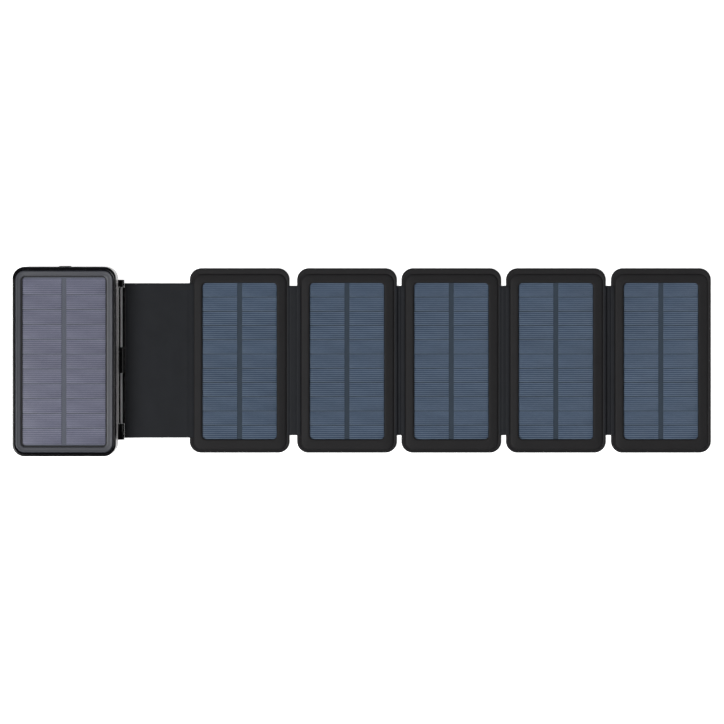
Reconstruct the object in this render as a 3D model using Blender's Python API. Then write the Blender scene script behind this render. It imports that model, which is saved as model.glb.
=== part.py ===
"""Folding solar power bank: a case with its own solar panel, a hinged fabric flap, and five fold-out
solar panels joined by fabric webs.

Metres, +Z up. It lies open on its back: the case at -X, the panels in a row towards +X. The origin is
at the middle of the object's box, on the surface it lies on. Each moving body hangs from an empty on
its joint's axis, so turning an empty folds everything beyond it.
"""

import math

import bmesh
import bpy
from mathutils import Matrix, Vector

MM = 0.001
GAP = 0.3 * MM  # clearance between pieces that touch

# Case
CASE_W = 85.0 * MM
CASE_L = 155.6 * MM
CASE_H = 28.0 * MM
CASE_CORNER_R = 10.0 * MM
CASE_CORNER_STEPS = 7
WALL = 2.2 * MM
BOTTOM_EDGE_R = 2.5 * MM
RIM_EDGE_R = 1.9 * MM
SEAM_Z = 21.0 * MM  # middle of the gap between the two shells
DECK_Z = 21.8 * MM  # underside of the deck that carries the case's solar panel
DECK_T = 1.4 * MM
LIP_T = 1.2 * MM  # lip of the upper shell, inside the lower one
LIP_BOTTOM_Z = 19.6 * MM
POCKET_W = 80.8 * MM  # recess in the rim, which takes the bezel
POCKET_L = 149.9 * MM
POCKET_R = 8.0 * MM
BEZEL_TOP_Z = 27.6 * MM
WINDOW_W = 68.6 * MM
WINDOW_L = 138.5 * MM
WINDOW_R = 2.8 * MM

# Inside the case
BATTERY_W = 68.0 * MM
BATTERY_L = 100.0 * MM
BATTERY_T = 8.1 * MM
BATTERY_Y = -13.0 * MM
BOARD_Z = 9.0 * MM
BOARD_T = 1.6 * MM
BOARD_HALF_W = 36.7 * MM
BOARD_NECK_HALF_W = 28.0 * MM
BOARD_Y = (44.0 * MM, 64.4 * MM, 73.1 * MM)  # back edge, shoulder and front edge
POST_X = 33.0 * MM
POST_Y = 69.4 * MM
POST_R = 3.4 * MM
POST_TOP_Z = 17.0 * MM
SCREW_HEAD_R = 2.3 * MM
SCREW_SHANK_R = 1.2 * MM
SCREW_HEAD_Z = (3.7 * MM, 5.7 * MM)
SCREW_TIP_Z = 20.2 * MM

# Sockets and their cover, in the +Y end
PLATE_T = 2.2 * MM  # thickening of the end wall behind the cover
COVER_W = 61.4 * MM
COVER_T = 1.8 * MM
COVER_Z = (7.0 * MM, 18.4 * MM)
TAB_W = 10.0 * MM
TAB_PROUD = 0.6 * MM
SOCKET_FRONT = 2.4 * MM  # the sockets' mouths, inside the end face
USB_A_SIZE = (13.2 * MM, 5.8 * MM)
USB_A_DEPTH = 14.0 * MM
USB_A_X = 19.0 * MM
USB_C_SIZE = (9.0 * MM, 3.2 * MM)
USB_C_DEPTH = 8.0 * MM
SOCKET_WALL = 0.5 * MM
SOCKET_WALL_C = 0.3 * MM

# Power button and charge lights, in the -X wall
BUTTON_Y = 61.0 * MM
BUTTON_Z = 12.6 * MM
BUTTON_SIZE = (8.4 * MM, 4.4 * MM)
BUTTON_PROUD = 0.4 * MM
BUTTON_FLANGE = 1.4 * MM
LIGHT_Y = (41.5 * MM, 45.0 * MM, 48.5 * MM, 52.0 * MM)
LIGHT_R = 0.9 * MM

# Light panel in the back
LENS_W = 56.0 * MM
LENS_L = 36.0 * MM
LENS_R = 4.0 * MM
LENS_FLANGE = 2.0 * MM

# Hinge
ROD_OFFSET = 2.7 * MM  # rod's axis from the case's wall
ROD_Z = 3.2 * MM
ROD_R = 1.0 * MM
BARREL_R = 2.4 * MM
BORE_R = ROD_R + GAP
TOP_LUG_Y = (60.8 * MM, 66.8 * MM)
BOTTOM_LUG_Y = (-65.4 * MM, -52.3 * MM)
SLEEVE_Y = (-10.2 * MM, 11.1 * MM)
BAR_X = (1.4 * MM, 3.9 * MM)  # from the rod's axis
BAR_T = 2.8 * MM
CHANNEL_R = (1.5 * MM, 2.3 * MM)  # inside and outside of the bar's channel under the rod

# Flap
FLAP_RUN = 56.4 * MM  # rod's axis to the first panel
FLAP_L = 127.9 * MM
FABRIC_T = 0.6 * MM
CREASE_OFFSET = 5.0 * MM  # crease's axis from the first panel
CREASE_CLEAR = 0.9 * MM  # flap's end, back from the crease
TONGUE_CLEAR = 0.4 * MM
LEAD_W = 12.0 * MM
LEAD_T = 0.4 * MM

# Fold-out panels
PANEL_COUNT = 5
PANEL_W = 82.7 * MM
PANEL_L = 152.7 * MM
PANEL_T = 4.0 * MM
PANEL_R = 9.5 * MM
PANEL_CORNER_STEPS = 5
PANEL_GAPS = (6.1 * MM, 3.6 * MM, 3.8 * MM, 4.2 * MM)
FOLD_PITCHES = (6.0 * MM, 4.3 * MM, 4.3 * MM, 4.3 * MM)  # middle planes of two panels, folded
PANEL_MID_Z = PANEL_T / 2
FLANGE_INSET = 3.0 * MM
FLANGE_T = 0.5 * MM  # one layer of the pressed edge
PANEL_WINDOW_W = 61.2 * MM
PANEL_WINDOW_L = 129.6 * MM
PANEL_WINDOW_R = 4.0 * MM
PANEL_WINDOW_DROP = 0.55 * MM

# Webs
WEB_L = 123.7 * MM
WEB_T = 1.2 * MM
WEB_AXIS_OFFSET = 0.1 * MM  # web's axis, from the edge of the panel it hangs from
WEB_CLEAR = 0.85 * MM  # web's ends, from the panels' edges
WEB_LEAD_W = 8.0 * MM
WEB_LEAD_T = 0.2 * MM

# Where things are
TOTAL = BUTTON_PROUD + CASE_W + ROD_OFFSET + FLAP_RUN + PANEL_COUNT * PANEL_W + sum(PANEL_GAPS)
MID_Y = -TAB_PROUD / 2
CASE_LEFT = -TOTAL / 2 + BUTTON_PROUD
CASE_RIGHT = CASE_LEFT + CASE_W
CASE_X = (CASE_LEFT + CASE_RIGHT) / 2
CASE_TOP_Y = MID_Y + CASE_L / 2
ROD_X = CASE_RIGHT + ROD_OFFSET
PANEL_LEFTS = [
    ROD_X + FLAP_RUN + i * PANEL_W + sum(PANEL_GAPS[:i])
    for i in range(PANEL_COUNT)
]
CREASE_X = PANEL_LEFTS[0] - CREASE_OFFSET

# Material name: colour, roughness, metallic
MATERIALS = {
    "case_plastic": ((0.010, 0.010, 0.012), 0.16, 0.0),
    "bezel_plastic": ((0.085, 0.087, 0.096), 0.45, 0.0),
    "clear_film": ((0.55, 0.58, 0.66), 0.12, 0.0),
    "solar_cell": ((0.085, 0.105, 0.160), 0.30, 0.2),
    "backing": ((0.020, 0.022, 0.028), 0.60, 0.0),
    "fabric": ((0.024, 0.025, 0.028), 0.85, 0.0),
    "hinge_plastic": ((0.012, 0.012, 0.013), 0.30, 0.0),
    "steel": ((0.60, 0.60, 0.62), 0.25, 1.0),
    "silicone": ((0.020, 0.020, 0.022), 0.60, 0.0),
    "circuit_board": ((0.020, 0.110, 0.045), 0.50, 0.0),
    "pouch_foil": ((0.55, 0.56, 0.58), 0.35, 0.9),
    "socket_metal": ((0.62, 0.62, 0.64), 0.25, 1.0),
    "switch_plastic": ((0.060, 0.060, 0.062), 0.50, 0.0),
    "lens_plastic": ((0.80, 0.82, 0.85), 0.25, 0.0),
    "flat_cable": ((0.230, 0.100, 0.030), 0.45, 0.0),
}


def clear_scene():
    for obj in list(bpy.data.objects):
        bpy.data.objects.remove(obj)


def material(name):
    """The named material, made the first time it is asked for."""
    found = bpy.data.materials.get(name)
    if found:
        return found
    colour, roughness, metallic = MATERIALS[name]
    made = bpy.data.materials.new(name)
    made.use_nodes = True
    shader = made.node_tree.nodes["Principled BSDF"]
    shader.inputs["Base Color"].default_value = (*colour, 1.0)
    shader.inputs["Roughness"].default_value = roughness
    shader.inputs["Metallic"].default_value = metallic
    return made


# Outlines and loops. An outline is (centre u, centre v, width, length, corner radius, corner steps).


def case_outline(width=CASE_W, length=CASE_L, radius=CASE_CORNER_R):
    return (CASE_X, MID_Y, width, length, radius, CASE_CORNER_STEPS)


def inset(outline, by):
    u, v, width, length, radius, steps = outline
    return (u, v, width - 2 * by, length - 2 * by, max(radius - by, 0.2 * MM), steps)


def outline_points(outline):
    """The outline's points, anticlockwise. A radius of 0 gives the four corners."""
    u, v, width, length, radius, steps = outline
    points = []
    for corner, (su, sv) in enumerate(((1, 1), (-1, 1), (-1, -1), (1, -1))):
        cu = u + su * (width / 2 - radius)
        cv = v + sv * (length / 2 - radius)
        for step in range(steps + 1 if radius else 1):
            angle = math.pi / 2 * (corner + (step / steps if radius else 0))
            points.append((cu + radius * math.cos(angle), cv + radius * math.sin(angle)))
    return points


def circle_points(u, v, radius, steps):
    turns = [2 * math.pi * (step + 0.5) / steps for step in range(steps)]
    return [(u + radius * math.cos(turn), v + radius * math.sin(turn)) for turn in turns]


def at_height(points, height, plane="XY"):
    """Flat points put into space: their plane's two axes, and the height along the third."""
    if plane == "XY":
        return [Vector((u, v, height)) for u, v in points]
    if plane == "YZ":
        return [Vector((height, u, v)) for u, v in points]
    return [Vector((u, height, v)) for u, v in points]


def level(outline, height, plane="XY"):
    return at_height(outline_points(outline), height, plane)


# Bodies from loops


def loft(bm, loops, closed=False):
    """Adds a skin through the loops, which have the same number of points. It has a cap at each end,
    or, when closed, it runs on from the last loop to the first."""
    rings = [[bm.verts.new(point) for point in loop] for loop in loops]
    pairs = list(zip(rings, rings[1:]))
    if closed:
        pairs.append((rings[-1], rings[0]))
    for low, high in pairs:
        for i in range(len(low)):
            j = (i + 1) % len(low)
            bm.faces.new((low[i], low[j], high[j], high[i]))
    if not closed:
        bm.faces.new(reversed(rings[0]))
        bm.faces.new(rings[-1])


def lofted(*loops, closed=False):
    bm = bmesh.new()
    loft(bm, loops, closed)
    return bm


def add_box(bm, low, high):
    width = high[0] - low[0]
    length = high[1] - low[1]
    middle = ((low[0] + high[0]) / 2, (low[1] + high[1]) / 2)
    outline = (*middle, width, length, 0, 0)
    loft(bm, (level(outline, low[2]), level(outline, high[2])))


def add_rod(bm, centre, radius, span, plane, steps=16):
    """A round bar across a plane, from span[0] to span[1] along the third axis."""
    points = circle_points(*centre, radius, steps)
    loft(bm, (at_height(points, span[0], plane), at_height(points, span[1], plane)))


def box_body(low, high):
    bm = bmesh.new()
    add_box(bm, low, high)
    return bm


def plate(outline, low, high):
    return lofted(level(outline, low), level(outline, high))


def stepped_plate(outline, low, step, upper, high):
    """A plate with a smaller, raised middle."""
    return lofted(level(outline, low), level(outline, step), level(upper, step), level(upper, high))


# Objects

pivots = {}


def add_pivot(body, at, parent=None):
    """An empty on the body's joint axis."""
    empty = bpy.data.objects.new(body + "_pivot", None)
    empty.empty_display_size = 10 * MM
    bpy.context.scene.collection.objects.link(empty)
    pivots[body] = (empty, Vector(at))
    empty.location = at
    if parent:
        empty.parent = pivots[parent][0]
        empty.location = Vector(at) - pivots[parent][1]


def make_mesh(name, bm, at):
    bmesh.ops.recalc_face_normals(bm, faces=bm.faces)
    bmesh.ops.translate(bm, verts=bm.verts, vec=-at)
    mesh = bpy.data.meshes.new(name)
    bm.to_mesh(mesh)
    bm.free()
    mesh.shade_smooth()
    mesh.set_sharp_from_angle(angle=math.radians(32))
    return mesh


def add_piece(name, bm, look, body):
    """A visible piece of the body, from a bmesh in world coordinates."""
    empty, at = pivots[body]
    piece = bpy.data.objects.new(name, make_mesh(name, bm, at))
    piece.parent = empty
    piece.data.materials.append(material(look))
    bpy.context.scene.collection.objects.link(piece)
    return piece


def combine(piece, operation, label, bm):
    """Cuts the bmesh from the piece, or joins it on, with a hidden helper and a Boolean."""
    helper = bpy.data.objects.new(piece.name + "_" + label, make_mesh(label, bm, Vector()))
    helper.hide_render = True
    helper.display_type = "WIRE"
    bpy.context.scene.collection.objects.link(helper)
    modifier = piece.modifiers.new(label, "BOOLEAN")
    modifier.operation = operation
    modifier.solver = "EXACT"
    modifier.object = helper


def fuse(piece, label, bm):
    combine(piece, "UNION", label, bm)


def cut(piece, label, bm):
    combine(piece, "DIFFERENCE", label, bm)


# Case


def edge_round(outline, radius, start_z, rising, steps=3):
    """Loops of a rounded edge: from a bottom face out to the wall, or from the wall in to a top face."""
    loops = []
    for step in range(steps + 1):
        angle = math.pi / 2 * step / steps
        if rising:
            by = radius * (1 - math.sin(angle))
            z = start_z + radius * (1 - math.cos(angle))
        else:
            by = radius * (1 - math.cos(angle))
            z = start_z + radius * math.sin(angle)
        loops.append(level(inset(outline, by), z))
    return loops


def corner_places():
    return [(CASE_X + sx * POST_X, MID_Y + sy * POST_Y) for sx in (-1, 1) for sy in (-1, 1)]


def lug_body(y_span):
    """A barrel round the rod with a block into the case's wall."""
    half = BARREL_R
    back = CASE_RIGHT - WALL / 2
    points = [(back, ROD_Z + half), (back, ROD_Z - half)]
    steps = 10
    for step in range(steps + 1):
        angle = -math.pi / 2 + math.pi * step / steps
        points.append((ROD_X + half * math.cos(angle), ROD_Z + half * math.sin(angle)))
    return [at_height(points, MID_Y + y, "XZ") for y in y_span]


def add_lower_shell():
    outline = case_outline()
    top = SEAM_Z - GAP / 2
    loops = edge_round(outline, BOTTOM_EDGE_R, 0, rising=True)
    loops += [
        level(outline, top),
        level(inset(outline, WALL), top),
        level(inset(outline, WALL), WALL),
    ]
    shell = add_piece("lower_shell", lofted(*loops), "case_plastic", "case")
    fuse(shell, "posts", lower_posts())
    fuse(shell, "port_plate", port_plate())
    fuse(shell, "lugs", hinge_lugs())
    cut(shell, "screw_holes", lower_screw_holes())
    cut(shell, "port_pocket", port_pocket())
    cut(shell, "port_holes", port_holes())
    cut(shell, "button_holes", button_holes())
    cut(shell, "lens_hole", plate(lens_outline(GAP), -WALL, 2 * WALL))
    cut(shell, "lug_bore", lug_bore())


def lower_posts():
    bm = bmesh.new()
    for place in corner_places():
        add_rod(bm, place, POST_R, (WALL / 2, POST_TOP_Z), "XY")
    return bm


def lower_screw_holes():
    """Counterbored holes up through the posts."""
    bm = bmesh.new()
    shoulder = SCREW_HEAD_Z[1] + GAP
    for u, v in corner_places():
        wide = circle_points(u, v, SCREW_HEAD_R + GAP, 16)
        narrow = circle_points(u, v, SCREW_SHANK_R + GAP, 16)
        loft(bm, (
            at_height(wide, -WALL),
            at_height(wide, shoulder),
            at_height(narrow, shoulder),
            at_height(narrow, POST_TOP_Z + WALL),
        ))
    return bm


def port_plate():
    inner = CASE_TOP_Y - WALL
    half = COVER_W / 2 + 2 * MM
    low = (CASE_X - half, inner - PLATE_T, WALL / 2)
    high = (CASE_X + half, inner + WALL / 4, COVER_Z[1] + 0.8 * MM)
    return box_body(low, high)


def port_pocket():
    half = COVER_W / 2 + GAP
    low = (CASE_X - half, CASE_TOP_Y - COVER_T - GAP, COVER_Z[0] - GAP)
    high = (CASE_X + half, CASE_TOP_Y + WALL, COVER_Z[1] + GAP)
    return box_body(low, high)


def socket_base_z():
    return BOARD_Z + BOARD_T + GAP


def socket_outline(x, size, radius, grow=0.0):
    width, height = size
    middle_z = socket_base_z() + height / 2
    return (x, middle_z, width + 2 * grow, height + 2 * grow, radius + grow, 3)


def port_holes():
    bm = bmesh.new()
    outlines = [
        socket_outline(CASE_X - USB_A_X, USB_A_SIZE, 0.8 * MM, GAP),
        socket_outline(CASE_X, USB_C_SIZE, 1.5 * MM, GAP),
        socket_outline(CASE_X + USB_A_X, USB_A_SIZE, 0.8 * MM, GAP),
    ]
    inside = CASE_TOP_Y - WALL - PLATE_T - 1 * MM
    outside = CASE_TOP_Y - 1 * MM
    for outline in outlines:
        loft(bm, (level(outline, inside, "XZ"), level(outline, outside, "XZ")))
    return bm


def button_outline(grow=0.0):
    length, height = BUTTON_SIZE
    radius = height / 2 - 0.1 * MM
    return (
        MID_Y + BUTTON_Y, BUTTON_Z, length + 2 * grow, height + 2 * grow, radius + grow, 5,
    )


def button_holes():
    """Holes of the button and the charge lights, through the -X wall."""
    bm = bmesh.new()
    span = (CASE_LEFT - WALL, CASE_LEFT + 2 * WALL)
    hole = button_outline(GAP)
    loft(bm, (level(hole, span[0], "YZ"), level(hole, span[1], "YZ")))
    for y in LIGHT_Y:
        add_rod(bm, (MID_Y + y, BUTTON_Z), LIGHT_R + GAP, span, "YZ", 10)
    return bm


def lens_outline(grow=0.0):
    return (
        CASE_X, MID_Y, LENS_W + 2 * grow, LENS_L + 2 * grow, LENS_R + grow, 4,
    )


def hinge_lugs():
    bm = bmesh.new()
    for y_span in (TOP_LUG_Y, BOTTOM_LUG_Y):
        loft(bm, lug_body(y_span))
    return bm


def lug_bore():
    bm = bmesh.new()
    span = (MID_Y + BOTTOM_LUG_Y[0] - WALL, MID_Y + TOP_LUG_Y[1] + WALL)
    add_rod(bm, (ROD_X, ROD_Z), BORE_R, span, "XZ")
    return bm


def add_upper_shell():
    outline = case_outline()
    lip_outer = inset(outline, WALL + GAP)
    lip_inner = inset(outline, WALL + GAP + LIP_T)
    bottom = SEAM_Z + GAP / 2
    pocket = case_outline(POCKET_W, POCKET_L, POCKET_R)
    loops = [
        level(lip_inner, DECK_Z),
        level(lip_inner, LIP_BOTTOM_Z),
        level(lip_outer, LIP_BOTTOM_Z),
        level(lip_outer, bottom),
        level(outline, bottom),
    ]
    loops += edge_round(outline, RIM_EDGE_R, CASE_H - RIM_EDGE_R, rising=False, steps=4)
    loops += [level(pocket, CASE_H), level(pocket, DECK_Z + DECK_T)]
    shell = add_piece("upper_shell", lofted(*loops), "case_plastic", "case")
    posts = bmesh.new()
    holes = bmesh.new()
    for place in corner_places():
        add_rod(posts, place, POST_R, (POST_TOP_Z + GAP, DECK_Z + DECK_T / 2), "XY")
        add_rod(holes, place, SCREW_SHANK_R + GAP, (POST_TOP_Z - WALL, SCREW_TIP_Z + GAP), "XY")
    fuse(shell, "posts", posts)
    cut(shell, "pilot_holes", holes)


def window_outline(grow=0.0):
    return case_outline(WINDOW_W + 2 * grow, WINDOW_L + 2 * grow, WINDOW_R + grow)


def add_bezel():
    outer = inset(case_outline(POCKET_W, POCKET_L, POCKET_R), GAP)
    bottom = DECK_Z + DECK_T + GAP
    lip_z = BEZEL_TOP_Z - 1.2 * MM
    chamfer = 0.4 * MM
    skirt = window_outline(2.3 * MM)
    bm = lofted(
        level(outer, bottom),
        level(outer, BEZEL_TOP_Z - chamfer),
        level(inset(outer, chamfer), BEZEL_TOP_Z),
        level(window_outline(0.2 * MM), BEZEL_TOP_Z),
        level(window_outline(), BEZEL_TOP_Z - 0.2 * MM),
        level(window_outline(), lip_z),
        level(skirt, lip_z),
        level(skirt, bottom),
        closed=True,
    )
    add_piece("bezel", bm, "bezel_plastic", "case")


def add_case_solar_panel():
    base = DECK_Z + DECK_T + GAP
    board = window_outline(1.8 * MM)
    cells_z = base + 1.0 * MM + GAP
    clear_z = cells_z + GAP + GAP
    add_piece("case_backing_board", plate(board, base, base + 1.0 * MM), "backing", "case")
    cells = plate(window_outline(0.9 * MM), cells_z, cells_z + GAP)
    add_piece("case_cell_sheet", cells, "solar_cell", "case")
    clear = stepped_plate(
        board, clear_z, clear_z + 0.7 * MM, window_outline(-0.4 * MM), BEZEL_TOP_Z - 0.4 * MM,
    )
    add_piece("case_clear_cover", clear, "clear_film", "case")


def add_batteries():
    """Two pouch cells, one on the other, each with a sealed terrace that carries its tabs."""
    edge = 0.8 * MM
    first_z = 4.9 * MM
    outline = (CASE_X, MID_Y + BATTERY_Y, BATTERY_W, BATTERY_L, 3 * MM, 3)
    end = MID_Y + BATTERY_Y + BATTERY_L / 2
    for i in range(2):
        low = first_z + i * (BATTERY_T + GAP)
        high = low + BATTERY_T
        middle = (low + high) / 2
        bm = lofted(
            level(inset(outline, edge), low),
            level(outline, low + edge),
            level(outline, high - edge),
            level(inset(outline, edge), high),
        )
        cell = add_piece(f"battery_cell_{i + 1}", bm, "pouch_foil", "case")
        half = BATTERY_W / 2 - 4 * MM
        terrace = box_body(
            (CASE_X - half, end - 2 * MM, middle - 0.5 * MM),
            (CASE_X + half, end + 4 * MM, middle + 0.5 * MM),
        )
        fuse(cell, "terrace", terrace)


def add_main_board():
    """A board with a neck between the front posts, an inductor and two chips."""
    back, shoulder, front = (MID_Y + y for y in BOARD_Y)
    wide = BOARD_HALF_W
    neck = BOARD_NECK_HALF_W
    corners = [
        (-wide, back), (wide, back), (wide, shoulder), (neck, shoulder),
        (neck, front), (-neck, front), (-neck, shoulder), (-wide, shoulder),
    ]
    points = [(CASE_X + x, y) for x, y in corners]
    bm = lofted(at_height(points, BOARD_Z), at_height(points, BOARD_Z + BOARD_T))
    board = add_piece("main_circuit_board", bm, "circuit_board", "case")
    chips = bmesh.new()
    top = BOARD_Z + BOARD_T
    for x, y, size, height in ((-12, 52, 8, 4.5), (8, 51, 7, 1.2), (22, 53, 5, 1.0)):
        low = (CASE_X + x * MM, MID_Y + y * MM, top - 0.3 * MM)
        high = (low[0] + size * MM, low[1] + size * MM, top + height * MM)
        add_box(chips, low, high)
    fuse(board, "chips", chips)


def add_socket(name, x, size, depth, wall, radius):
    outer = socket_outline(x, size, radius)
    inner = socket_outline(x, size, radius, -wall)
    front = CASE_TOP_Y - SOCKET_FRONT
    back = front - depth
    bm = lofted(
        level(outer, back, "XZ"),
        level(outer, front, "XZ"),
        level(inner, front, "XZ"),
        level(inner, back + 1.5 * MM, "XZ"),
    )
    add_piece(name, bm, "socket_metal", "case")


def add_sockets():
    left = CASE_X - USB_A_X
    right = CASE_X + USB_A_X
    add_socket("usb_a_socket_1", left, USB_A_SIZE, USB_A_DEPTH, SOCKET_WALL, 0.8 * MM)
    add_socket("usb_a_socket_2", right, USB_A_SIZE, USB_A_DEPTH, SOCKET_WALL, 0.8 * MM)
    add_socket("usb_c_socket", CASE_X, USB_C_SIZE, USB_C_DEPTH, SOCKET_WALL_C, 1.5 * MM)


def add_port_cover():
    """A soft cover that swings out and down about its lower outer edge, with a pull tab."""
    half = COVER_W / 2
    add_pivot("port_cover", (CASE_X, CASE_TOP_Y, COVER_Z[0]), "case")
    outline = (CASE_X, sum(COVER_Z) / 2, COVER_W, COVER_Z[1] - COVER_Z[0], 1.0 * MM, 2)
    bm = lofted(
        level(outline, CASE_TOP_Y - COVER_T, "XZ"), level(outline, CASE_TOP_Y, "XZ"),
    )
    cover = add_piece("port_cover", bm, "silicone", "port_cover")
    tab = box_body(
        (CASE_X - TAB_W / 2, CASE_TOP_Y - COVER_T / 2, COVER_Z[1] - 3.2 * MM),
        (CASE_X + TAB_W / 2, CASE_TOP_Y + TAB_PROUD, COVER_Z[1] - 0.4 * MM),
    )
    fuse(cover, "tab", tab)


def add_power_button():
    """A cap through the wall, a flange behind it and a stem towards the switch."""
    face = CASE_LEFT - BUTTON_PROUD
    inner = CASE_LEFT + WALL + GAP
    cap = button_outline()
    flange = button_outline(BUTTON_FLANGE)
    stem = circle_points(MID_Y + BUTTON_Y, BUTTON_Z, SCREW_SHANK_R, 24)
    add_pivot("power_button", (face, MID_Y + BUTTON_Y, BUTTON_Z), "case")
    bm = lofted(
        level(inset(cap, 0.4 * MM), face, "YZ"),
        level(cap, face + 0.3 * MM, "YZ"),
        level(cap, inner, "YZ"),
        level(flange, inner, "YZ"),
        level(flange, inner + 1 * MM, "YZ"),
    )
    button = add_piece("power_button", bm, "silicone", "power_button")
    stem_body = lofted(
        at_height(stem, inner + 0.5 * MM, "YZ"), at_height(stem, inner + 2.4 * MM, "YZ"),
    )
    fuse(button, "stem", stem_body)


def add_button_switch():
    front = CASE_LEFT + WALL + GAP + 3.6 * MM
    y = MID_Y + BUTTON_Y
    base = socket_base_z()
    bm = box_body(
        (front + 0.8 * MM, y - 3 * MM, base), (front + 4.3 * MM, y + 3 * MM, base + 3.4 * MM),
    )
    switch = add_piece("button_switch", bm, "switch_plastic", "case")
    plunger = bmesh.new()
    add_rod(plunger, (y, BUTTON_Z), 1.2 * MM, (front, front + 2 * MM), "YZ", 12)
    fuse(switch, "plunger", plunger)


def add_light_pipe():
    """A bar behind the wall with one prong for each charge light."""
    inner = CASE_LEFT + WALL + GAP
    low = (inner, MID_Y + LIGHT_Y[0] - 2 * MM, BUTTON_Z - 1.4 * MM)
    high = (inner + 1.4 * MM, MID_Y + LIGHT_Y[-1] + 2 * MM, BUTTON_Z + 1.4 * MM)
    pipe = add_piece("charge_light_pipe", box_body(low, high), "lens_plastic", "case")
    prongs = bmesh.new()
    for y in LIGHT_Y:
        add_rod(prongs, (MID_Y + y, BUTTON_Z), LIGHT_R, (CASE_LEFT, inner + 0.7 * MM), "YZ", 10)
    fuse(pipe, "prongs", prongs)


def add_back_light():
    flange_z = WALL + GAP
    top = flange_z + 0.8 * MM
    lens = lofted(
        level(lens_outline(), GAP),
        level(lens_outline(), flange_z),
        level(lens_outline(LENS_FLANGE), flange_z),
        level(lens_outline(LENS_FLANGE), top),
    )
    add_piece("light_lens", lens, "lens_plastic", "case")
    board = plate(lens_outline(LENS_FLANGE), top + GAP, top + GAP + 1 * MM)
    add_piece("light_board", board, "circuit_board", "case")


def add_screws():
    head_low, head_high = SCREW_HEAD_Z
    profile = [
        (1.0 * MM, head_low + 0.9 * MM),
        (1.0 * MM, head_low),
        (SCREW_HEAD_R - 0.3 * MM, head_low),
        (SCREW_HEAD_R, head_low + 0.3 * MM),
        (SCREW_HEAD_R, head_high),
        (SCREW_SHANK_R, head_high),
        (SCREW_SHANK_R, SCREW_TIP_Z - 0.8 * MM),
        (SCREW_SHANK_R / 2, SCREW_TIP_Z),
    ]
    for i, (u, v) in enumerate(corner_places()):
        loops = [at_height(circle_points(u, v, radius, 12), z) for radius, z in profile]
        add_piece(f"case_screw_{i + 1}", lofted(*loops), "steel", "case")


def add_hinge_rod():
    bm = bmesh.new()
    span = (MID_Y + BOTTOM_LUG_Y[0] + 0.5 * MM, MID_Y + TOP_LUG_Y[1] - 0.5 * MM)
    add_rod(bm, (ROD_X, ROD_Z), ROD_R, span, "XZ", 20)
    add_piece("hinge_rod", bm, "steel", "case")


def add_case():
    add_pivot("case", (CASE_X, MID_Y, 0))
    add_lower_shell()
    add_upper_shell()
    add_bezel()
    add_case_solar_panel()
    add_batteries()
    add_main_board()
    add_sockets()
    add_port_cover()
    add_power_button()
    add_button_switch()
    add_light_pipe()
    add_back_light()
    add_screws()
    add_hinge_rod()


# Flap


def channel_points():
    """A curved lip round the rod's underside, which starts inside the bar."""
    steps = 12
    turns = [math.radians(-180 + 165 * step / steps) for step in range(steps + 1)]
    inner, outer = [
        [(ROD_X + radius * math.cos(turn), ROD_Z + radius * math.sin(turn)) for turn in turns]
        for radius in CHANNEL_R
    ]
    return outer + inner[::-1]


def add_edge_bar():
    """A bar along the flap's edge, with a channel that the rod lies in and, between the lugs, the
    sleeve that turns on the rod."""
    middle = ROD_X + sum(BAR_X) / 2
    ends = (MID_Y + BOTTOM_LUG_Y[1] + GAP, MID_Y + TOP_LUG_Y[0] - GAP)
    outline = (middle, ROD_Z, BAR_X[1] - BAR_X[0], BAR_T, 0.7 * MM, 2)
    bm = lofted(level(outline, ends[0], "XZ"), level(outline, ends[1], "XZ"))
    bar = add_piece("flap_edge_bar", bm, "hinge_plastic", "flap")
    channel = lofted(*(at_height(channel_points(), end, "XZ") for end in ends))
    sleeve = bmesh.new()
    span = [MID_Y + y for y in SLEEVE_Y]
    add_rod(sleeve, (ROD_X, ROD_Z), BARREL_R, span, "XZ", 20)
    bore = bmesh.new()
    add_rod(bore, (ROD_X, ROD_Z), BORE_R, (span[0] - 1 * MM, span[1] + 1 * MM), "XZ", 16)
    fuse(bar, "channel", channel)
    fuse(bar, "sleeve", sleeve)
    cut(bar, "bore", bore)


def flap_sheet(low, high, half_width):
    """A layer of the flap between two heights from its middle plane, which falls from the rod to the
    panels' middle plane."""
    start = ROD_X + BAR_X[1] + GAP
    end = CREASE_X - CREASE_CLEAR
    points = [
        (start, ROD_Z + low), (end, PANEL_MID_Z + low),
        (end, PANEL_MID_Z + high), (start, ROD_Z + high),
    ]
    return lofted(
        at_height(points, MID_Y - half_width, "XZ"), at_height(points, MID_Y + half_width, "XZ"),
    )


def add_flap():
    add_pivot("flap", (ROD_X, MID_Y, ROD_Z), "case")
    add_edge_bar()
    inner = LEAD_T / 2 + GAP
    outer = inner + FABRIC_T
    half = FLAP_L / 2
    add_piece("flap_front_fabric", flap_sheet(inner, outer, half), "fabric", "flap")
    add_piece("flap_back_fabric", flap_sheet(-outer, -inner, half), "fabric", "flap")
    lead = flap_sheet(-LEAD_T / 2, LEAD_T / 2, LEAD_W / 2)
    add_piece("flap_lead", lead, "flat_cable", "flap")


# Fold-out panels


def panel_window(x, grow=0.0):
    return (
        x, MID_Y - PANEL_WINDOW_DROP, PANEL_WINDOW_W + 2 * grow, PANEL_WINDOW_L + 2 * grow,
        PANEL_WINDOW_R + grow, PANEL_CORNER_STEPS,
    )


def add_tongue(cover, low, high):
    """A strip on the first panel's pressed edge that reaches to the flap's crease."""
    thinner = 0.05 * MM
    half = FLAP_L / 2
    tongue = box_body(
        (CREASE_X + TONGUE_CLEAR, MID_Y - half, low + thinner),
        (PANEL_LEFTS[0] + 1.5 * MM, MID_Y + half, high - thinner),
    )
    fuse(cover, "tongue", tongue)


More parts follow.
